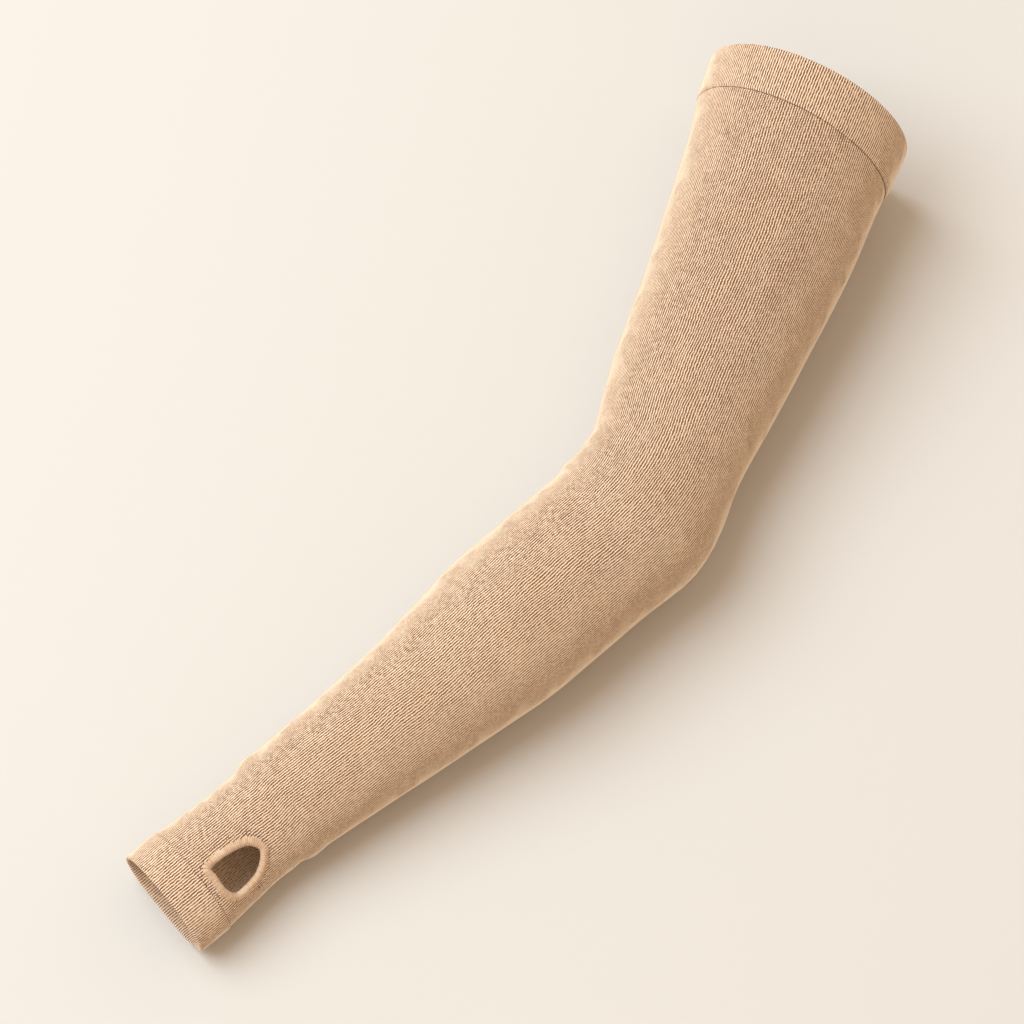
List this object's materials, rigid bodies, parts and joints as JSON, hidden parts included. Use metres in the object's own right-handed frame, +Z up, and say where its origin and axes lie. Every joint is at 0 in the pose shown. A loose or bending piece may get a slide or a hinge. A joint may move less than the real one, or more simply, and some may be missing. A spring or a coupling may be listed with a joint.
{
  "type": "arm compression sleeve",
  "caption": "Seamless knitted compression sleeve from the palm to the upper arm, bent at the elbow, with a thumb hole and doubled bands at both ends.",
  "frame": {"origin": "on the surface that the sleeve lies on, under the middle of its box", "axes": "+X from the hand end to the upper arm, +Y towards the inner side of the elbow, +Z up"},
  "size_m": [0.5022, 0.1478, 0.0977],
  "materials": {
    "knit": "matte beige elastic rib knit with fine ribs along the arm",
    "band_knit": "the same knit doubled, with straighter ribs",
    "overcast_thread": "soft beige thread laid closely over the edge"
  },
  "bodies": {
    "root": {"knit_tube": "knit", "upper_cuff": "band_knit", "hand_hem": "band_knit", "thumb_binding": "overcast_thread"}
  },
  "joints": []
}
